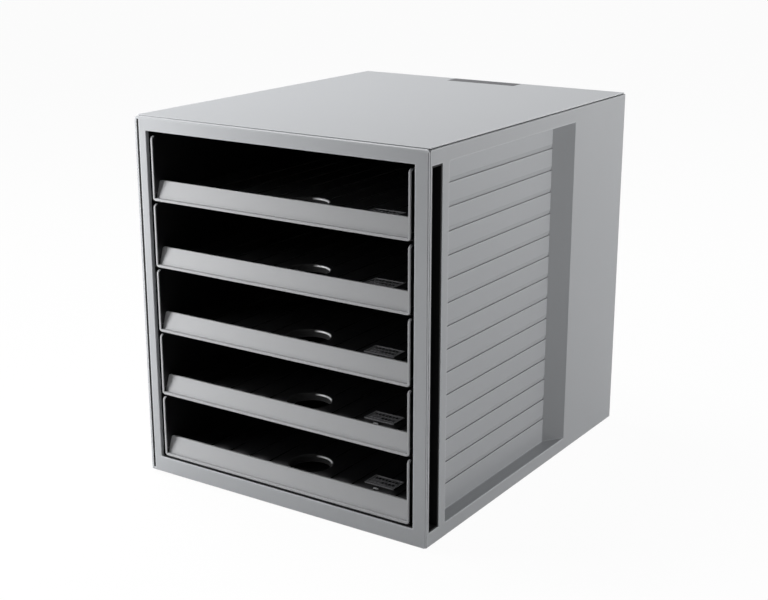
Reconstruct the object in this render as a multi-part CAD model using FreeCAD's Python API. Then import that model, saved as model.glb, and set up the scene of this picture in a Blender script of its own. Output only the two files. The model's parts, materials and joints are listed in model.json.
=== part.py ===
import FreeCAD, Part
import math
import os
from FreeCAD import Vector

# Desktop file drawer: a grey plastic case with open black trays that slide out of its front.
# All sizes are in millimetres. While a piece is built, X runs across the case from its middle,
# Y runs back from the front face, and Z runs up from the underside of the case. export() then
# moves every piece so that the origin lies on the table, under the middle of the case.

# Drawers
drawer_count = 5
drawer_height = 52.0
drawer_gap = 3.0            # between one drawer and the next
bottom_gap = 2.0            # under the lowest drawer, above the sill of the opening
top_gap = 4.0               # over the highest drawer
side_gap = 3.7              # beside a drawer, in the opening
front_setback = 0.8         # drawer fronts behind the front face of the case
rear_gap = 3.0              # behind a closed drawer
drawer_travel = 230.0       # from closed to the stop

# Trays
tray_wall = 1.8
tray_floor = 2.0
floor_height = 4.0          # underside of the floor above the lower edge of the side walls
wall_nose = 3.0             # radius of a side wall's upper front corner
skid_round = 0.8            # along the lower edge of a side wall
tray_corner = 3.0           # upright rear corners
front_backing = 1.4         # the tray's own low front wall
backing_drop = 0.8          # how far its edge stays below that of the lip
hole_diameter = 34.0        # finger hole
hole_setback = 43.0         # its middle, behind the front face of the case
hole_collar = 2.5           # thickness of the tube round the hole
hole_round = 2.0
groove_spacing = 20.8       # long grooves in the floor
groove_width = 1.4
groove_depth = 0.7
groove_margin = 14.0        # bare floor at the ends of a groove
hole_margin = 3.0           # bare floor round the finger hole's collar

# Drawer fronts
rim_depth = 1.0             # grey strip on the front edges of the walls
rim_round = 0.7             # its outer edge
strip_height = 2.0          # strip under the lip
strip_depth = 2.7
strip_round = 0.6
lip_height = 15.6           # top edge of the lip above the underside of the drawer
lip_lean = 4.6              # how far the lip leans back
lip_wall = 1.6
lip_corner = 1.5
front_corner = 3.0          # lower outer corners of a drawer front

# Label plates on the tray floors
label_width = 27.4
label_length = 16.6
label_thickness = 1.2
label_offset = 72.0         # its middle, right of the middle of the drawer
label_setback = 44.0        # its middle, behind the front face of the case
label_border = 1.1
label_relief = 0.4
label_pocket = 0.4
label_clearance = 0.15
label_bars = 7              # plain ribs in each of its two rows
label_rows = 2

# Case
case_width = 275.0
case_depth = 330.0
side_bar = 11.5             # front frame beside the opening
top_bar = 12.0
bottom_bar = 14.5
frame_plate = 2.0
back_plate = 2.5
top_plate = 2.5
base_plate = 2.5
skin = 2.5                  # outer wall of a side panel
jamb_depth = 3.2
jamb_wall = 2.0
frame_corner = 3.0          # corners of the front frame, seen from the front
side_round = 0.8            # upright edges of its front face
brow_round = 1.8            # upper and lower edge of its front face
opening_round = 0.7
frame_drop = 0.8            # its upper edge below the top of the case
seam_width = 0.8            # upright groove between the front frame and a side panel
seam_depth = 1.2
rear_round = 2.0            # upright rear edges of the case
panel_round = 1.0           # upper and lower edges of a side panel
flange_thickness = 0.6      # thin edge of the top panel, over the side and back panels
flange_gap = 0.6            # shadow gap under that edge
flange_inset = 0.8
flange_round = 0.3
lid_gap = 0.9               # between the front frame and the top panel
ledge_width = 3.0           # ledges that carry the top and base panels
ledge_thickness = 2.0
panel_gap = 0.2
gap_width = 2.2             # shadow gap down the left edge of the front frame
gap_inset = 2.2
gap_end = 3.0
rib_sink = 0.3              # the rack's rib below the front face, in the shadow gap
rib_clearance = 0.2

# Side panels
guide_gap = 1.0             # between a drawer and the wall that guides it
guide_wall = 2.2
window_top = 13.0           # slot and recess below the top of the case
window_bottom = 11.7        # slot and recess above its underside
slot_setback = 5.0
slot_width = 14.0
recess_setback = 28.5
recess_length = 202.5
recess_ramp = 18.0
recess_round = 0.5
recess_corner = 2.5         # upper front corner of the recess, seen from the side
boards_per_drawer = 3       # lapped boards on the floor of the recess
lap_depth = 0.8
lap_height = 3.5

# Runner racks
runner_gap = 0.3            # under a drawer
runner_reach = 10.3         # under a drawer, sideways
runner_setback = 10.3       # front end of a runner, behind the front face of the case
rack_wall = 1.5
collar_wall = 1.0           # the rack's collar that lines a side slot
collar_sink = 0.5           # its rim below the outer face
stop_length = 5.0
stop_width = 6.0
stop_height = 2.5           # above the underside of the drawer
tab_length = 3.0            # the tray's own stop
tab_lift = 0.7
stop_gap = 0.3
rear_post_depth = 16.0

# Back panel
back_field_margin = 18.0
back_field_depth = 0.8

# Name plate, left bare
name_plate_width = 70.0
name_plate_length = 16.0
name_plate_thickness = 1.3
name_plate_inset = 2.5      # from the rear of the case
name_plate_gap = 0.15

# Feet
foot_height = 2.0
foot_diameter = 16.0
foot_inset = 24.0
foot_round = 0.5

# Worked out from these
half_width = case_width / 2
opening_half = half_width - side_bar
drawer_half = opening_half - side_gap
drawer_pitch = drawer_height + drawer_gap
opening_height = bottom_gap + drawer_count * drawer_pitch - drawer_gap + top_gap
opening_top = bottom_bar + opening_height
case_height = opening_top + top_bar
tray_length = case_depth - back_plate - rear_gap - front_setback
skin_inside = half_width - skin
guide_inside = drawer_half + guide_gap
recess_floor = guide_inside + guide_wall
recess_depth = half_width - recess_floor
recess_end = recess_setback + recess_length
window_low = window_bottom
window_high = case_height - window_top
seat = case_height - top_plate
panel_top = case_height - flange_thickness - flange_gap
board_pitch = drawer_pitch / boards_per_drawer
runner_inside = drawer_half - runner_reach
runner_back = case_depth - back_plate - rear_gap
column_inside = opening_half + jamb_wall + panel_gap
column_back = recess_setback - guide_wall
far = 10.0                  # how far a cutting solid runs past what it cuts
lap = 1.0                   # how far solids that are joined run into one another
close = 1e-3                # allowed when an edge is picked by where it lies


def box(x0, x1, y0, y1, z0, z1):
    return Part.makeBox(x1 - x0, y1 - y0, z1 - z0, Vector(x0, y0, z0))


def prism(corners, run):
    """A straight prism: its corners as (x, y, z), and the vector along which it is drawn out."""
    points = [Vector(*corner) for corner in corners]
    return Part.Face(Part.makePolygon(points + points[:1])).extrude(Vector(*run))


def mirrored(shape):
    return shape.mirror(Vector(0, 0, 0), Vector(1, 0, 0))


def joined(*shapes):
    return shapes[0].fuse(list(shapes[1:])).removeSplitter()


def edges_at(shape, test):
    """Edges of which both ends and the middle pass the test, which is given a point."""
    found = []
    for edge in shape.Edges:
        middle = edge.valueAt((edge.FirstParameter + edge.LastParameter) / 2)
        points = [vertex.Point for vertex in edge.Vertexes] + [middle]
        if all(test(point) for point in points):
            found.append(edge)
    return found


def near(value, target):
    return abs(value - target) < close


def runs_along(edge, axis):
    direction = edge.tangentAt(edge.FirstParameter)
    return near(abs(direction[axis]), 1)


def rounded(shape, radius, edges):
    return shape.makeFillet(radius, edges)


def upright_block(y0, y1, z1):
    """A block over the whole width of the case, from its underside up to a height."""
    return box(-half_width, half_width, y0, y1, 0, z1)


def frame_blank():
    """The front frame before its opening: a plate with rounded corners and front edges."""
    top = case_height - frame_drop
    outline = upright_block(0, frame_plate, top)
    outline = rounded(outline, frame_corner, [edge for edge in outline.Edges if runs_along(edge, 1)])
    brows = upright_block(0, frame_plate, top)
    brows = rounded(brows, brow_round, [edge for edge in edges_at(brows, lambda p: near(p.y, 0))
                                        if runs_along(edge, 0)])
    sides = upright_block(0, frame_plate, top)
    sides = rounded(sides, side_round, [edge for edge in edges_at(sides, lambda p: near(p.y, 0))
                                        if runs_along(edge, 2)])
    return outline.common(brows).common(sides)


def lid_ledge(y0, y1):
    """A ledge behind the front frame or before the back panel, on which the top panel rests."""
    reach = skin_inside - ledge_width - panel_gap
    return box(-reach, reach, y0, y1, seat - ledge_thickness, seat)


def front_frame():
    jamb = box(-opening_half - jamb_wall, opening_half + jamb_wall, side_round, jamb_depth,
               bottom_bar - jamb_wall, opening_top + jamb_wall)
    frame = joined(frame_blank(), jamb, lid_ledge(frame_plate, frame_plate + ledge_width))
    frame = frame.cut(box(-opening_half, opening_half, -far, jamb_depth + far,
                          bottom_bar, opening_top))
    gap_left = gap_inset - half_width
    frame = frame.cut(box(gap_left, gap_left + gap_width, -far, frame_plate + far,
                          gap_end, case_height - gap_end))
    rim = edges_at(frame, lambda p: near(p.y, 0) and abs(p.x) < opening_half + close
                   and bottom_bar - close < p.z < opening_top + close)
    return rounded(frame, opening_round, rim)


def recess_plan(depth):
    """Corners of the side recess seen from above, cut to a depth below the outer wall."""
    slope = recess_depth / recess_ramp
    outside = half_width + far
    inside = half_width - depth
    return [(outside, recess_setback), (inside, recess_setback),
            (inside, recess_end - depth / slope), (outside, recess_end + far / slope)]


def recess_liner():
    """The walls of the recess on the inside of the side panel, before the recess is cut."""
    slope = recess_depth / recess_ramp
    shift = guide_wall * math.sqrt(1 + slope ** 2)
    rear_inside = recess_end - (half_width - guide_inside - shift) / slope
    rear_outside = recess_end + (shift - skin / 2) / slope
    front = recess_setback - guide_wall
    outer = half_width - skin / 2
    low = window_low - guide_wall
    corners = [(outer, front, low), (guide_inside, front, low),
               (guide_inside, rear_inside, low), (outer, rear_outside, low)]
    return prism(corners, (0, 0, window_high - window_low + 2 * guide_wall))


def lapped_boards():
    """What is cut from the floor of the recess to leave one board lapping over the next."""
    count = drawer_count * boards_per_drawer - 1
    length = recess_length + far
    laps = []
    for number in range(1, count + 1):
        line = bottom_bar + number * board_pitch
        laps.append(prism([(recess_floor + lap_depth, recess_setback, line),
                           (recess_floor - lap_depth, recess_setback, line),
                           (recess_floor, recess_setback, line + lap_height),
                           (recess_floor + lap_depth, recess_setback, line + lap_height)],
                          (0, length, 0)))
    plan = [(x, y, window_low) for x, y in recess_plan(recess_depth + lap_depth)]
    space = prism(plan, (0, 0, window_high - window_low))
    return Part.makeCompound(laps).common(space)


def recess_block():
    """What is cut from a side panel to leave its recess."""
    plan = [(x, y, window_low) for x, y in recess_plan(recess_depth)]
    block = prism(plan, (0, 0, window_high - window_low))
    corner = edges_at(block, lambda p: near(p.y, recess_setback) and near(p.z, window_high))
    return rounded(block, recess_corner, corner)


def right_side_panel():
    front = frame_plate
    panel = box(skin_inside, half_width, front, case_depth, 0, panel_top)
    rear_edge = edges_at(panel, lambda p: near(p.x, half_width) and near(p.y, case_depth))
    panel = rounded(panel, rear_round, rear_edge)
    long_edges = [edge for edge in edges_at(panel, lambda p: near(p.x, half_width))
                  if runs_along(edge, 1)]
    panel = rounded(panel, panel_round, long_edges)
    ledges = [box(skin_inside - ledge_width, skin_inside, front, case_depth - back_plate,
                  low, low + ledge_thickness)
              for low in (seat - ledge_thickness, base_plate)]
    panel = joined(panel, recess_liner(), *ledges)
    panel = panel.cut(recess_block())
    panel = panel.cut(lapped_boards())
    panel = panel.cut(box(skin_inside - far, half_width + far, slot_setback,
                          slot_setback + slot_width, window_low, window_high))
    rim = edges_at(panel, lambda p: near(p.x, half_width) and slot_setback - lap < p.y < recess_end + lap
                   and window_low - lap < p.z < window_high + lap)
    panel = rounded(panel, recess_round, rim)
    return panel.cut(box(half_width - seam_depth, half_width + far, front, front + seam_width,
                         -far, case_height + far))


def top_panel():
    """The cover: a thick middle that rests on the ledges, and a thin edge over the panels."""
    front = frame_plate + lid_gap
    inside = skin_inside - panel_gap
    middle = box(-inside, inside, front, case_depth - back_plate - panel_gap, seat, case_height)
    outside = half_width - flange_inset
    flange = box(-outside, outside, front, case_depth - flange_inset,
                 case_height - flange_thickness, case_height)
    rear = [edge for edge in edges_at(flange, lambda p: near(p.y, case_depth - flange_inset))
            if runs_along(edge, 2)]
    flange = rounded(flange, rear_round, rear)
    flange = rounded(flange, flange_round, edges_at(flange, lambda p: near(p.z, case_height)))
    middle = middle.cut(box(-half_width, half_width, 0, case_depth,
                            case_height - flange_thickness, case_height + far))
    half = name_plate_width / 2
    rear = case_depth - name_plate_inset
    pocket = box(-half - name_plate_gap, half + name_plate_gap,
                 rear - name_plate_length - 2 * name_plate_gap, rear,
                 case_height - name_plate_thickness, case_height + far)
    return joined(middle, flange).cut(pocket)


def name_plate():
    half = name_plate_width / 2
    rear = case_depth - name_plate_inset - name_plate_gap
    plate = box(-half, half, rear - name_plate_length, rear,
                case_height - name_plate_thickness, case_height)
    return rounded(plate, flange_round, edges_at(plate, lambda p: near(p.z, case_height)))


def base_panel():
    reach = skin_inside - panel_gap
    return box(-reach, reach, frame_plate, case_depth - back_plate, 0, base_plate)


def back_panel():
    inner = case_depth - back_plate
    inside = skin_inside - panel_gap
    plate = box(-inside, inside, inner, case_depth, 0, panel_top)
    plate = joined(plate, lid_ledge(inner - ledge_width, inner))
    field = box(back_field_margin - half_width, half_width - back_field_margin,
                case_depth - back_field_depth, case_depth + far,
                back_field_margin, case_height - back_field_margin)
    return plate.cut(field)


def drawer_underside(number):
    """Height of the underside of a drawer. Drawer 1 is the highest."""
    return bottom_bar + bottom_gap + (drawer_count - number) * drawer_pitch


def runner(number):
    """One runner of the right rack, with its stop, from the front column to the rear post."""
    top = drawer_underside(number) - runner_gap
    low = drawer_underside(number) - bottom_gap
    parts = [box(runner_inside, guide_inside, runner_setback, runner_back, low, top),
             box(guide_inside - lap, column_inside + rack_wall, runner_setback, column_back, low, top),
             box(guide_inside - lap, guide_inside + rack_wall, runner_back - rear_post_depth,
                 runner_back, low, top),
             box(runner_inside, runner_inside + stop_width, runner_setback,
                 runner_setback + stop_length, low, drawer_underside(number) + stop_height)]
    return joined(*parts)


def slot_block(inset):
    """The block that fills a side slot, its sides moved in, from the rack's column outwards."""
    return box(column_inside + rack_wall - lap, half_width - collar_sink,
               slot_setback + inset, slot_setback + slot_width - inset,
               window_low + inset, window_high - inset)


def right_runner_rack():
    low = window_low - rack_wall
    high = window_high + rack_wall
    column = box(column_inside, skin_inside, frame_plate, column_back, low, high)
    column = column.cut(box(column_inside + rack_wall, skin_inside + far,
                            frame_plate + rack_wall, column_back - rack_wall,
                            window_low, window_high))
    collar = slot_block(rib_clearance).cut(slot_block(rib_clearance + collar_wall))
    back = runner_back
    front = runner_back - rear_post_depth
    web = box(guide_inside, skin_inside, back - rack_wall, back, low, high)
    foot = box(guide_inside, guide_inside + rack_wall, front, back, low, high)
    runners = [runner(number) for number in range(1, drawer_count + 1)]
    return joined(column, collar, web, foot, *runners)


def left_runner_rack():
    """The mirrored rack, with a rib that fills the shadow gap of the front frame."""
    left = gap_inset - half_width
    rib = box(left + rib_clearance, left + gap_width - rib_clearance, rib_sink, frame_plate,
              gap_end + rib_clearance, case_height - gap_end - rib_clearance)
    backing = box(-skin_inside, left + gap_width - rib_clearance, frame_plate,
                  frame_plate + rack_wall, base_plate + ledge_thickness + rib_clearance,
                  seat - ledge_thickness - rib_clearance)
    return joined(mirrored(right_runner_rack()), rib, backing)


def lip_line(offset):
    """Lower and upper end of the lip's outer face, (y, z) in the drawer, moved back by offset."""
    rise = lip_height - strip_height
    shift = offset * math.sqrt(1 + (lip_lean / rise) ** 2)
    low = strip_depth + shift - strip_height * lip_lean / rise
    return (low, 0), (strip_depth + shift + lip_lean, lip_height)


def wall_side(inset):
    """The right side wall of a drawer, its front edge, rounded nose and top edge moved in."""
    radius = wall_nose - inset
    bend = radius * (1 - math.sqrt(0.5))
    x = drawer_half - tray_wall
    top = drawer_height - inset
    points = [Vector(x, inset, 0), Vector(x, inset, top - radius),
              Vector(x, inset + bend, top - bend), Vector(x, wall_nose, top),
              Vector(x, tray_length, top), Vector(x, tray_length, 0)]
    edges = [Part.LineSegment(points[0], points[1]).toShape(),
             Part.Arc(points[1], points[2], points[3]).toShape(),
             Part.LineSegment(points[3], points[4]).toShape(),
             Part.LineSegment(points[4], points[5]).toShape(),
             Part.LineSegment(points[5], points[0]).toShape()]
    return Part.Face(Part.Wire(edges)).extrude(Vector(tray_wall, 0, 0))


def wall_rim():
    """The strip along the front edge and the nose of the right wall, which is cut from the wall."""
    nose = box(0, half_width, -far, wall_nose, -far, drawer_height + far)
    return wall_side(0).cut(wall_side(rim_depth)).common(nose)


def drawer_front():
    """The grey front of a drawer: strips on the wall edges, a strip below, and the lip."""
    inside = drawer_half - tray_wall
    right = wall_rim()
    outer_edge = [edge for edge in edges_at(right, lambda p: near(p.x, drawer_half) and near(p.y, 0))
                  if runs_along(edge, 2)]
    right = rounded(right, rim_round, outer_edge)
    strip = box(-inside, inside, 0, strip_depth, 0, strip_height)
    (low_y, low_z), (high_y, high_z) = lip_line(0)
    (back_low_y, _), (back_high_y, _) = lip_line(lip_wall)
    lip = prism([(-inside, low_y, low_z), (-inside, high_y, high_z),
                 (-inside, back_high_y, high_z), (-inside, back_low_y, low_z)],
                (2 * inside, 0, 0))
    ends = edges_at(lip, lambda p: near(p.z, lip_height) and near(abs(p.x), inside))
    lip = rounded(lip, lip_corner, ends)
    outline = box(-drawer_half, drawer_half, -far, tray_length, 0, drawer_height + far)
    corners = [edge for edge in edges_at(outline, lambda p: near(p.z, 0)) if runs_along(edge, 1)]
    outline = rounded(outline, front_corner, corners)
    front = joined(strip, right, mirrored(right), lip).common(outline)
    brow = [edge for edge in edges_at(front, lambda p: near(p.y, 0) and near(p.z, strip_height))
            if runs_along(edge, 0)]
    return rounded(front, strip_round, brow)


def floor_grooves():
    """The long grooves of a tray floor. Those that meet the finger hole pass it by."""
    top = floor_height + tray_floor
    start = lip_line(lip_wall + front_backing)[1][0] + groove_margin
    end = tray_length - tray_wall - groove_margin
    hole_radius = hole_diameter / 2 + hole_collar + hole_margin
    hole_y = hole_setback - front_setback
    pairs = int((drawer_half - tray_wall - groove_margin) / groove_spacing + 0.5)
    grooves = []
    for pair in range(pairs):
        x = (pair + 0.5) * groove_spacing
        begin = start
        if x - groove_width / 2 < hole_radius:
            begin = hole_y + math.sqrt(hole_radius ** 2 - (x - groove_width / 2) ** 2)
            grooves.append((x, start, hole_y - (begin - hole_y)))
        grooves.append((x, begin, end))
    cuts = []
    for x, begin, finish in grooves:
        if finish - begin > groove_width:
            cut = box(x - groove_width / 2, x + groove_width / 2, begin, finish,
                      top - groove_depth, top + far)
            cuts += [cut, mirrored(cut)]
    return cuts


def drawer_tray():
    """The black tray of a drawer, with its front at Y = 0 and its underside at Z = 0."""
    inside = drawer_half - tray_wall
    top = floor_height + tray_floor
    wall = wall_side(0).cut(wall_rim())
    rear = box(-inside, inside, tray_length - tray_wall, tray_length, 0, drawer_height)
    (low_y, _), (high_y, _) = lip_line(lip_wall)
    (back_low_y, _), (back_high_y, _) = lip_line(lip_wall + front_backing)
    lean = (high_y - low_y) / lip_height
    edge = lip_height - backing_drop
    apron = prism([(-inside, low_y, 0), (-inside, low_y + lean * edge, edge),
                   (-inside, back_low_y + lean * edge, edge), (-inside, back_low_y, 0)],
                  (2 * inside, 0, 0))
    floor = box(-inside, inside, low_y + lean * top, tray_length, floor_height, top)
    tray = joined(wall, mirrored(wall), rear, apron, floor)
    corners = [edge for edge in edges_at(tray, lambda p: near(abs(p.x), drawer_half)
                                         and near(p.y, tray_length)) if runs_along(edge, 2)]
    tray = rounded(tray, tray_corner, corners)
    skids = [edge for edge in edges_at(tray, lambda p: near(abs(p.x), drawer_half)
                                       and near(p.z, 0)) if runs_along(edge, 1)]
    tray = rounded(tray, skid_round, skids)
    hole_y = hole_setback - front_setback
    collar = Part.makeCylinder(hole_diameter / 2 + hole_collar, top, Vector(0, hole_y, 0))
    tab_y = runner_setback + stop_length + stop_gap + drawer_travel - front_setback
    tab = box(runner_inside, runner_inside + stop_width, tab_y, tab_y + tab_length,
              tab_lift, floor_height + tray_floor / 2)
    tray = joined(tray, collar, tab, mirrored(tab))
    tray = tray.cut(Part.makeCylinder(hole_diameter / 2, top + 2 * far, Vector(0, hole_y, -far)))
    mouth = [edge for edge in tray.Edges if near(edge.BoundBox.ZMin, top)
             and near(edge.BoundBox.ZMax, top) and near(edge.BoundBox.XMax, hole_diameter / 2)]
    tray = rounded(tray, hole_round, mouth)
    return tray.cut(floor_grooves() + [label_outline(label_clearance)])


def label_outline(clearance):
    """The block that a label plate fills in the tray, grown sideways by a clearance."""
    seat = floor_height + tray_floor - label_pocket
    middle_y = label_setback - front_setback
    half_x = label_width / 2 + clearance
    half_y = label_length / 2 + clearance
    return box(label_offset - half_x, label_offset + half_x, middle_y - half_y, middle_y + half_y,
               seat, seat + label_thickness)


def label_plate():
    """A blank label plate: a raised border round two rows of plain ribs."""
    plate = label_outline(0)
    top = plate.BoundBox.ZMax
    left = plate.BoundBox.XMin + label_border
    front = plate.BoundBox.YMin + label_border
    width = label_width - 2 * label_border
    length = label_length - 2 * label_border
    plate = plate.cut(box(left, left + width, front, front + length, top - label_relief, top + far))
    pitch = width / (label_bars + 1)
    row = length / (2 * label_rows + 1)
    bars = []
    for index in range(label_bars):
        x = left + (index + 1) * pitch
        for number in range(label_rows):
            y = front + (2 * number + 1) * row
            bars.append(box(x - pitch / 4, x + pitch / 4, y, y + row, top - label_relief, top))
    return joined(plate, *bars)


def foot(x, y):
    pad = Part.makeCylinder(foot_diameter / 2, foot_height, Vector(x, y, -foot_height))
    edge = [edge for edge in pad.Edges if near(edge.BoundBox.ZMax, -foot_height)]
    return rounded(pad, foot_round, edge)


def export(name, shape, lift=0.0, setback=0.0):
    placed = shape.copy()
    placed.translate(Vector(0, setback - case_depth / 2, lift + foot_height))
    solids = placed.Solids
    whole = solids[0] if len(solids) == 1 else Part.makeCompound(solids)
    whole.exportStep(os.path.join("parts", name + ".step"))


def main():
    os.makedirs("parts", exist_ok=True)
    panel = right_side_panel()
    export("front_frame", front_frame())
    export("right_side_panel", panel)
    export("left_side_panel", mirrored(panel))
    export("right_runner_rack", right_runner_rack())
    export("left_runner_rack", left_runner_rack())
    export("top_panel", top_panel())
    export("name_plate", name_plate())
    export("base_panel", base_panel())
    export("back_panel", back_panel())
    foot_x = half_width - foot_inset
    export("foot_front_left", foot(-foot_x, foot_inset))
    export("foot_front_right", foot(foot_x, foot_inset))
    export("foot_back_left", foot(-foot_x, case_depth - foot_inset))
    export("foot_back_right", foot(foot_x, case_depth - foot_inset))
    tray = drawer_tray()
    front = drawer_front()
    label = label_plate()
    for number in range(1, drawer_count + 1):
        lift = drawer_underside(number)
        export("drawer_tray_%d" % number, tray, lift, front_setback)
        export("drawer_front_%d" % number, front, lift, front_setback)
        export("label_plate_%d" % number, label, lift, front_setback)


main()
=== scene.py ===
import json
import math

import bpy
from mathutils import Matrix, Vector


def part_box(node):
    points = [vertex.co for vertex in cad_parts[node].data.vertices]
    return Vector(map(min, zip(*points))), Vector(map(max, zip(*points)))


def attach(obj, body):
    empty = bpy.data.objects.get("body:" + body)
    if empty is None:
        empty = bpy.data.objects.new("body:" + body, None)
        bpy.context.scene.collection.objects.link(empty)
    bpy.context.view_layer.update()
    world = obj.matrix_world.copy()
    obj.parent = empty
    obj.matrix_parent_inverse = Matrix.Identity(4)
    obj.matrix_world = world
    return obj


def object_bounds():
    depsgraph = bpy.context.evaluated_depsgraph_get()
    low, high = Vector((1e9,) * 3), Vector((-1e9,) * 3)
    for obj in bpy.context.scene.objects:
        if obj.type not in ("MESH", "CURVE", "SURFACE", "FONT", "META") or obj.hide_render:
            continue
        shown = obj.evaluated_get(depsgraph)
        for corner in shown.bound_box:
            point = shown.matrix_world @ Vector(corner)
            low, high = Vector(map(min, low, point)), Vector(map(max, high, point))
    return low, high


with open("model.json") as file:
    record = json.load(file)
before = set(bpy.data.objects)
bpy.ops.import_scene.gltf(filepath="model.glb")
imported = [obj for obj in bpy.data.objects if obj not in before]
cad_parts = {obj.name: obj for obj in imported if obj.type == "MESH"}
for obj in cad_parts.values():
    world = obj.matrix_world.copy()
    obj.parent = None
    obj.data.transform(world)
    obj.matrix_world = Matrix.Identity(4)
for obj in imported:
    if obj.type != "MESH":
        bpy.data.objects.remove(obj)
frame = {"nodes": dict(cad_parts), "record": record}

# The looks of a desktop file drawer: satin grey panels round glossy black trays.
# Everything is in metres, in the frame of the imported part: X across, Y from front to back, Z up.


# Sizes and places --------------------------------------------------------------------------------

cad_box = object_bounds()
case_low = cad_box[0]        # the left, front and lowest corner

drawer_count = 5             # drawer 1 is the uppermost one
lowest_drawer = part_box("drawer_tray_5")[0].z
drawer_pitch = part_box("drawer_tray_4")[0].z - lowest_drawer

tray_floor = 0.006           # top of a tray's floor, above the underside of its drawer
groove_spacing = 0.0208      # between the long grooves of a tray's floor
lit_floor_end = case_low.y + 0.03     # of the painted light on a tray's floor, behind its mouth
hole_y = -0.122              # middle of the finger holes
hole_rim = 0.0178            # radius just outside the wall of a finger hole
highlight_foot = 0.0044         # of the painted highlight on its rim, above the underside of its drawer
highlight_way = (0.31, 0.95)    # X and Y of the direction in which that part lies from the middle

label_low, label_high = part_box("label_plate_5")
label_x = (label_low.x + label_high.x) / 2
label_y = (label_low.y + label_high.y) / 2
label_top = label_high.z - lowest_drawer     # of its ribs, above the underside of its drawer
ribs_width = 0.0248
ribs_depth = 0.0142
bare_end = label_x - 0.0016  # the front row of ribs is bare to the left of this

sill_top = 0.0165            # of the case's sill, under the lowest drawer
board_count = 15             # the lapped boards of a side recess, counted from the top of the sill
board_pitch = drawer_count * drawer_pitch / board_count
board_face = 0.1255          # their outer face, from the middle of the case
lap_height = 0.0035          # of the slope at the foot of a board
lap_depth = 0.0008           # how far that slope cuts in


# Shader maths ------------------------------------------------------------------------------------

class Value:
    """A number, colour or vector that changes over a surface. Sums of it read as plain maths."""

    def __init__(self, nodes, socket):
        self.nodes = nodes
        self.socket = socket

    def __add__(self, other):
        return self.nodes.maths("ADD", self, other)

    __radd__ = __add__

    def __mul__(self, other):
        return self.nodes.maths("MULTIPLY", self, other)

    __rmul__ = __mul__

    def __sub__(self, other):
        return self.nodes.maths("SUBTRACT", self, other)

    def __rsub__(self, other):
        return self.nodes.maths("SUBTRACT", other, self)

    def __truediv__(self, other):
        return self.nodes.maths("DIVIDE", self, other)

    def __pow__(self, other):
        return self.nodes.maths("POWER", self, other)

    def __abs__(self):
        return self.nodes.maths("ABSOLUTE", self)

    def __lt__(self, other):
        """1 where this is less than the other, 0 elsewhere."""
        return self.nodes.maths("LESS_THAN", self, other)

    def __gt__(self, other):
        """1 where this is more than the other, 0 elsewhere."""
        return self.nodes.maths("GREATER_THAN", self, other)

    def within(self, low, high):
        """1 between low and high, 0 outside."""
        return (self > low) * (self < high)

    def ramp(self, low, high):
        """0 where this is at low, 1 where it is at high, and smooth between them."""
        settings = {"interpolation_type": "SMOOTHSTEP"}
        inputs = {"Value": self, "From Min": low, "From Max": high}
        return self.nodes.add("ShaderNodeMapRange", settings, inputs)


class Nodes:
    """The shader nodes of a material, or of the background, while they are put together."""

    def __init__(self, owner):
        owner.use_nodes = True
        self.tree = owner.node_tree
        self.tree.nodes.clear()

    def add(self, kind, settings=None, inputs=None, output=0):
        """A new node: its settings are made first, then each socket gets its number or link."""
        node = self.tree.nodes.new(kind)
        for name, value in (settings or {}).items():
            setattr(node, name, value)
        for name, value in (inputs or {}).items():
            if isinstance(value, Value):
                self.tree.links.new(value.socket, node.inputs[name])
            else:
                node.inputs[name].default_value = value
        return Value(self, node.outputs[output])

    def maths(self, operation, *numbers):
        """A number worked out from others, each of them fixed or changing over the surface."""
        return self.add("ShaderNodeMath", {"operation": operation}, dict(enumerate(numbers)))

    def seen_directly(self):
        """1 for what the camera sees, also in a mirror or through glass, and 0 for scattered light."""
        kinds = ("Is Camera Ray", "Is Glossy Ray", "Is Transmission Ray")
        camera, glossy, through = [self.add("ShaderNodeLightPath", output=kind) for kind in kinds]
        return self.maths("MAXIMUM", camera, self.maths("MAXIMUM", glossy, through))

    def blended(self, share, first, second):
        """The first shader where share is 0, the second where it is 1."""
        return self.add("ShaderNodeMixShader", inputs={0: share, 1: first, 2: second})

    def end(self, kind, shader):
        """Leads the shader to the output node."""
        output = self.tree.nodes.new(kind)
        self.tree.links.new(shader.socket, output.inputs["Surface"])


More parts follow.
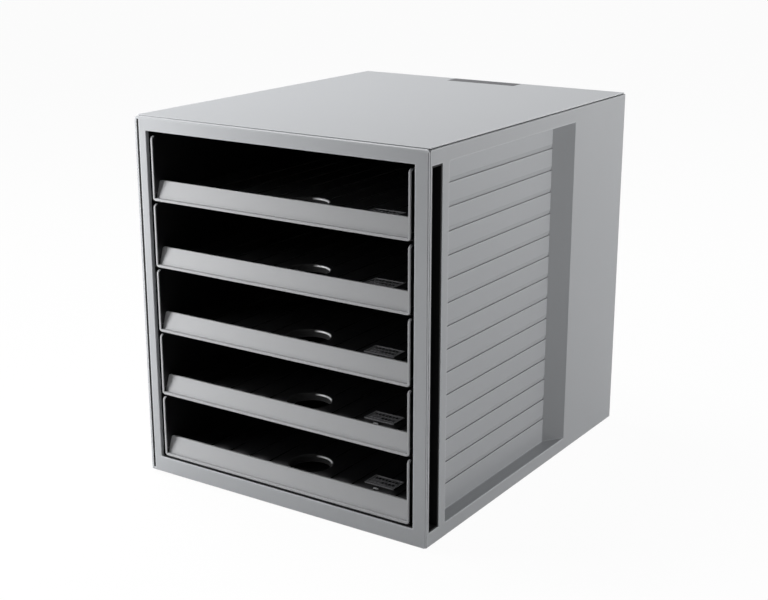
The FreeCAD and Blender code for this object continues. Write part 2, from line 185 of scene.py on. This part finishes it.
class Finish(Nodes):
    """The material of one finish. Its patterns follow the place on the piece."""

    def __init__(self, name):
        self.material = bpy.data.materials.new(name)
        super().__init__(self.material)
        self.place = self.add("ShaderNodeTexCoord", output="Object")

    def stretched(self, across, back, up):
        """The place on the piece, with each direction scaled."""
        inputs = {0: self.place, 1: (across, back, up)}
        return self.add("ShaderNodeVectorMath", {"operation": "MULTIPLY"}, inputs)

    def in_case(self):
        """The place on the piece as three numbers: X, Y and Z."""
        return [self.add("ShaderNodeSeparateXYZ", inputs={0: self.place}, output=axis)
                for axis in ("X", "Y", "Z")]

    def in_drawer(self):
        """The place on the piece as three numbers: X, Y, and Z above the underside of its drawer."""
        across, back, up = self.in_case()
        return across, back, self.maths("MODULO", up - lowest_drawer, drawer_pitch)

    def noise(self, size, detail, place=None):
        """Soft noise about 0, from about -0.5 to 0.5, with features of this size in metres."""
        inputs = {"Vector": place or self.place, "Scale": 1 / size, "Detail": detail}
        return self.add("ShaderNodeTexNoise", inputs=inputs) - 0.5

    def shaded(self, colour, shade):
        """A colour made lighter or darker by a number that changes over the surface."""
        grey = self.add("ShaderNodeCombineXYZ", inputs={"X": shade, "Y": shade, "Z": shade})
        inputs = {0: grey, 1: colour}
        return self.add("ShaderNodeVectorMath", {"operation": "MULTIPLY"}, inputs)

    def mixed(self, share, first, second):
        """The first colour where share is 0, the second where it is 1."""
        inputs = {0: share, 6: first, 7: second}
        return self.add("ShaderNodeMix", {"data_type": "RGBA"}, inputs, output=2)

    def edges(self, radius):
        """1 within about this radius of an edge, 0 on a flat face."""
        rounded = self.add("ShaderNodeBevel", {"samples": 6}, {"Radius": radius})
        flat = self.add("ShaderNodeNewGeometry", output="Normal")
        inputs = {0: rounded, 1: flat}
        facing = self.add("ShaderNodeVectorMath", {"operation": "DOT_PRODUCT"}, inputs, output="Value")
        return (1 - facing).ramp(0.0, 0.12)

    def gaps(self, reach):
        """1 in a gap narrower than this reach, 0 on an open face and in an open corner."""
        settings = {"samples": 8, "only_local": False}
        open_share = self.add("ShaderNodeAmbientOcclusion", settings, {"Distance": reach}, output="AO")
        return (1 - open_share).ramp(0.5, 0.75)

    def done(self, colour, roughness, relief, depth, strength, specular=0.5):
        """The finished material. The relief, of this depth, bends the light and not the surface."""
        inputs = {"Height": relief, "Distance": depth, "Strength": strength}
        normal = self.add("ShaderNodeBump", inputs=inputs)
        inputs = {"Base Color": colour, "Roughness": roughness, "Specular IOR Level": specular,
                  "Normal": normal}
        self.end("ShaderNodeOutputMaterial", self.add("ShaderNodeBsdfPrincipled", inputs=inputs))
        return self.material


# Finishes ----------------------------------------------------------------------------------------

def srgb(red, green, blue):
    """A colour as a paint chart gives it, 0 to 255, in linear light."""
    def linear(part):
        part /= 255
        return part / 12.92 if part <= 0.04045 else ((part + 0.055) / 1.055) ** 2.4
    return (linear(red), linear(green), linear(blue))


def satin_plastic(name, colour, edge_highlight, highlight_reach, dust_and_shade=None):
    """Grey moulded plastic: fine grain and faint clouds, with a painted highlight along the edges and
    painted shade in the narrow gaps.
    """
    finish = Finish(name)
    grain = finish.noise(0.0006, detail=3)
    clouds = finish.noise(0.09, detail=3)
    specks = finish.noise(0.0016, detail=1).ramp(0.12, 0.3)
    near_edge = finish.edges(highlight_reach)
    shaded_gaps = finish.gaps(0.004)
    # The colour is lightened along the edges, a painted highlight.
    shade = 1 + 0.05 * clouds + 0.04 * grain - 0.04 * specks + edge_highlight * near_edge
    # The colour is darkened in the narrow gaps, painted shade.
    shade = shade * (1 - 0.9 * shaded_gaps)
    # Further painted shade, where a function for it is given.
    if dust_and_shade:
        shade = shade * (1 - dust_and_shade(finish))
    roughness = 0.46 + 0.08 * clouds + 0.06 * grain - 0.06 * near_edge + 0.3 * shaded_gaps
    colour = finish.shaded(colour, shade)
    return finish.done(colour, roughness, grain, 0.00006, strength=0.25, specular=0.35)


def case_shade(finish):
    """Painted shade under each lapped board, a painted shadow on the sill, and a faint dark line painted
    where a board's slope begins.
    """
    across, back, up = finish.in_case()
    skin = 0.0003            # reach beyond the faces of the boards
    on_boards = (abs(across).within(board_face - lap_depth - skin, board_face + skin)
                 * up.within(sill_top + 0.5 * board_pitch, sill_top + (board_count - 0.5) * board_pitch))
    below = 0.002            # a board is counted from this far below its foot
    above_foot = finish.maths("MODULO", up - (sill_top - below), board_pitch) - below
    shade_under_board = 1 - abs(above_foot - 0.0002).ramp(0.0002, 0.0007)
    crease_shade = 1 - abs(above_foot - lap_height).ramp(0.0001, 0.0005)
    sill_shadow = ((abs(up - sill_top) < 0.0001) * (abs(across) < board_face)
               * back.within(case_low.y + 0.0005, case_low.y + 0.02))
    return on_boards * (0.4 * shade_under_board + 0.12 * crease_shade) + 0.85 * sill_shadow


def gloss_black(name, colour, lit_floor_colour, highlight_colour):
    """Black moulded plastic with the fine scratches that paper leaves.

    A highlight is painted on the back right of the finger hole's rim and shade on the rest of its wall,
    and light is painted on the floor by the mouth of the tray.
    """
    finish = Finish(name)
    rim_highlight, shaded_wall = finger_hole(finish)
    grain = finish.noise(0.0005, detail=2)
    clouds = finish.noise(0.05, detail=3)
    strokes = finish.noise(0.002, detail=3, place=finish.stretched(1, 0.06, 1)).ramp(0.05, 0.3)
    near_edge = finish.edges(0.0012)
    roughness = (0.34 + 0.1 * clouds + 0.12 * strokes - 0.12 * near_edge * (1 - shaded_wall) - 0.1 * rim_highlight
                 + 0.6 * shaded_wall)
    shade = 1 + 0.3 * clouds + 0.25 * strokes
    plain = finish.shaded(colour, shade)
    # Light painted on the floor behind the tray's mouth.
    floor_with_light = finish.mixed(mouth_light(finish), plain, finish.shaded(lit_floor_colour, shade))
    # Shade painted on the wall of the finger hole.
    with_wall_shade = finish.mixed(shaded_wall, floor_with_light, finish.shaded(colour, 0.2))
    # A highlight painted on the back right of the finger hole's rim.
    with_rim_highlight = finish.mixed(rim_highlight, with_wall_shade, finish.shaded(highlight_colour, shade))
    return finish.done(with_rim_highlight, roughness, grain, 0.00003, strength=0.2)


def finger_hole(finish):
    """Two masks: the part of a finger hole's rim where a highlight is painted, and the rest of its wall,
    where shade is painted.
    """
    across, back, up = finish.in_drawer()
    behind = back - hole_y
    away = (across * across + behind * behind) ** 0.5
    cosine = (highlight_way[0] * across + highlight_way[1] * behind) / away
    by_rim = 1 - away.ramp(hole_rim - 0.0004, hole_rim + 0.0003)
    upper_part = up.ramp(highlight_foot - 0.0003, highlight_foot + 0.0003)
    rim_highlight = by_rim * upper_part * cosine.ramp(0.74, 0.94)
    shaded_wall = (1 - away.ramp(hole_rim + 0.0009, hole_rim + 0.0013)) * (1 - rim_highlight)
    return rim_highlight, shaded_wall


def mouth_light(finish):
    """1 where light is painted on a tray's floor, behind its mouth. Between two grooves it ends in a
    bow.
    """
    across, back, up = finish.in_drawer()
    half_spacing = groove_spacing / 2
    from_middle = abs(finish.maths("WRAP", across, half_spacing, -half_spacing))
    bow = 0.005 * (from_middle / half_spacing) ** 2
    before_end = 1 - (back + bow).ramp(lit_floor_end - 0.004, lit_floor_end + 0.006)
    return before_end * (abs(up - tray_floor) < 0.0003)


def matt_black(name, colour, specular):
    """Dark moulded plastic with a slightly uneven surface."""
    finish = Finish(name)
    grain = finish.noise(0.0008, detail=3)
    clouds = finish.noise(0.03, detail=2)
    colour = finish.shaded(colour, 1 + 0.3 * clouds + 0.2 * grain)
    roughness = 0.5 + 0.1 * clouds
    return finish.done(colour, roughness, grain, 0.00008, strength=0.3, specular=specular)


def label_finish(name, ground, ink):
    """Grey label plates. Their raised ribs are black, but those at the front left are bare."""
    finish = Finish(name)
    across, back, up = finish.in_drawer()
    grain = finish.noise(0.0008, detail=3)
    clouds = finish.noise(0.01, detail=2)
    inside = (abs(across - label_x) < ribs_width / 2) * (abs(back - label_y) < ribs_depth / 2)
    inked = finish.maths("MAXIMUM", back > label_y, across > bare_end)
    ribs = inside * inked * up.within(label_top - 0.0002, label_top + 0.001)
    shade = 1 + 0.3 * clouds + 0.2 * grain
    colour = finish.mixed(ribs, finish.shaded(ground, shade), finish.shaded(ink, shade))
    return finish.done(colour, 0.5 + 0.1 * clouds, grain, 0.00005, strength=0.3)


def rubber(name, colour):
    """Black rubber with pale dust in its grain."""
    finish = Finish(name)
    grain = finish.noise(0.0011, detail=4)
    dust_and_shade = finish.noise(0.004, detail=3).ramp(0.0, 0.35)
    colour = finish.shaded(colour, 1 + 0.3 * grain + 0.8 * dust_and_shade)
    return finish.done(colour, 0.8 + 0.1 * grain, grain, 0.0001, strength=0.5)


finishes = {
    # The lighter edges of both greys are a painted highlight, and the case also gets painted shade under
    # its boards and on its sill.
    "case_grey": satin_plastic("case_grey", srgb(166, 168, 171), edge_highlight=0.45, highlight_reach=0.0022,
                               dust_and_shade=case_shade),
    "front_grey": satin_plastic("front_grey", srgb(166, 167, 169), edge_highlight=0.05, highlight_reach=0.001),
    # Its second colour is painted light on the floor by the mouth, and its third a painted highlight on
    # the finger hole's rim.
    "tray_black": gloss_black("tray_black", srgb(22, 22, 23), lit_floor_colour=srgb(88, 88, 90),
                              highlight_colour=srgb(240, 240, 242)),
    # The black of the racks is painted shade where it is seen, in the side slots and in the shadow gap
    # down the left of the front.
    "rack_black": matt_black("rack_black", srgb(28, 28, 29), specular=0.1),
    "label_black": label_finish("label_black", ground=srgb(124, 124, 127), ink=srgb(12, 12, 13)),
    "plate_dark": matt_black("plate_dark", srgb(72, 73, 76), specular=0.2),
    "foot_rubber": rubber("foot_rubber", srgb(36, 36, 36)),
}

for part in frame["record"]["subparts"]:
    node = frame["nodes"][part["node"]]
    node.data.materials.clear()
    node.data.materials.append(finishes[part["material_slot"]])


# The catch in front of each label ----------------------------------------------------------------

def label_catch():
    """A low stepped catch with soft edges, in front of the label of the lowest drawer."""
    length, depth, height = 0.0048, 0.0016, 0.0007
    step = 0.0003            # height of the upper step, which is also that much smaller all round
    right, ahead = 0.001, 0.0138     # of the middle of the label
    bpy.ops.object.select_all(action="DESELECT")
    bpy.ops.mesh.primitive_cube_add(size=1)
    catch = bpy.context.object
    catch.scale = (length, depth, height)
    catch.location = (label_x + right, label_y - ahead, lowest_drawer + tray_floor + height / 2)
    bpy.ops.object.transform_apply(location=True, rotation=False, scale=True)
    bpy.ops.object.mode_set(mode="EDIT")
    bpy.ops.mesh.select_all(action="DESELECT")
    bpy.ops.object.mode_set(mode="OBJECT")
    for face in catch.data.polygons:
        face.select = face.normal.z > 0.5
    bpy.ops.object.mode_set(mode="EDIT")
    bpy.ops.mesh.inset(thickness=step)
    bpy.ops.mesh.extrude_region_move(TRANSFORM_OT_translate={"value": (0, 0, step)})
    bpy.ops.object.mode_set(mode="OBJECT")
    soft_edges = catch.modifiers.new("soft_edges", "BEVEL")
    soft_edges.width = 0.00012
    soft_edges.segments = 3
    bpy.ops.object.modifier_apply(modifier="soft_edges")
    bpy.ops.object.shade_smooth_by_angle(angle=math.radians(40))
    catch.data.materials.append(finishes["front_grey"])
    return catch


def place_catches():
    """The catch of the lowest drawer, and its copies in the drawers above."""
    lowest = label_catch()
    for above in range(drawer_count):
        catch = lowest
        if above:
            catch = lowest.copy()
            catch.data = lowest.data.copy()
            catch.data.transform(Matrix.Translation((0, 0, above * drawer_pitch)))
            bpy.context.scene.collection.objects.link(catch)
        number = drawer_count - above
        catch.name = "label_catch_%d" % number
        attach(catch, "drawer_%d" % number)


place_catches()


# Floor, background, lamps and camera -------------------------------------------------------------

white = (1, 1, 1, 1)
pale = (0.82, 0.82, 0.82, 1)


def floor():
    """A wide floor. What is seen of it is nearly white, and the case still shades it a little."""
    bpy.ops.object.select_all(action="DESELECT")
    bpy.ops.mesh.primitive_plane_add(size=12, location=(0, 0, case_low.z))
    plane = bpy.context.object
    plane.name = "floor"
    bpy.ops.object.transform_apply(location=True)
    finish = Finish("floor")
    paint = finish.add("ShaderNodeBsdfDiffuse", inputs={"Color": pale})
    glow = finish.add("ShaderNodeEmission", inputs={"Color": white, "Strength": 1.0})
    glowing = 0.965 * finish.seen_directly()
    finish.end("ShaderNodeOutputMaterial", finish.blended(glowing, paint, glow))
    plane.data.materials.append(finish.material)


def background(dim):
    """White where it is seen, and dim where it only lights the object."""
    world = bpy.data.worlds.new("studio")
    bpy.context.scene.world = world
    nodes = Nodes(world)
    soft = nodes.add("ShaderNodeBackground", inputs={"Color": white, "Strength": dim})
    plain = nodes.add("ShaderNodeBackground", inputs={"Color": white, "Strength": 1.0})
    nodes.end("ShaderNodeOutputWorld", nodes.blended(nodes.seen_directly(), soft, plain))


def lamp(name, place, aim, width, height, radiance):
    """A softbox that faces a point. At a radiance of 1 it is as bright as the white background."""
    away = (Vector(place) - Vector(aim)).normalized()
    light = bpy.data.lights.new(name, "AREA")
    light.shape = "RECTANGLE"
    light.size = width
    light.size_y = height
    light.energy = radiance * math.pi * width * height
    holder = bpy.data.objects.new(name, light)
    bpy.context.scene.collection.objects.link(holder)
    holder.location = place
    holder.rotation_mode = "QUATERNION"
    holder.rotation_quaternion = away.to_track_quat("Z", "Y")


def lamps():
    """Two small softboxes at the front left, a large one over the left side and two at the back."""
    front, middle, lid = (0, case_low.y, 0.155), (0, 0, 0.155), (0, 0, 0.3)
    lamp("key", (-0.42, -0.465, 0.37), front, width=0.2, height=0.3, radiance=10.7)
    lamp("low_key", (-0.42, -0.465, 0.14), front, width=0.2, height=0.3, radiance=4.2)
    lamp("left_overhead", (-0.7, 0, 1.5), lid, width=0.8, height=0.8, radiance=11.2)
    lamp("right_rear", (1.582, 1.108, 0.395), middle, width=1.82, height=1.04, radiance=4.05)
    lamp("high_rear", (0.614, 1.064, 1.015), middle, width=0.8, height=0.8, radiance=0.5)


def camera():
    """The view from the front right, from a little above the lid."""
    image_width, focal_length = 768, 1379    # in pixels
    turn, drop = math.radians(33.5), math.radians(16.6)
    view = bpy.data.cameras.new("camera")
    view.sensor_width = 36.0
    view.lens = view.sensor_width * focal_length / image_width
    holder = bpy.data.objects.new("camera", view)
    bpy.context.scene.collection.objects.link(holder)
    holder.location = (0.630, -0.965, 0.478)
    ahead = Vector((-math.sin(turn) * math.cos(drop), math.cos(turn) * math.cos(drop), -math.sin(drop)))
    holder.rotation_mode = "QUATERNION"
    holder.rotation_quaternion = ahead.to_track_quat("-Z", "Y")
    bpy.context.scene.camera = holder


floor()
background(dim=0.03)
lamps()
camera()
bpy.context.scene.view_settings.view_transform = "Standard"
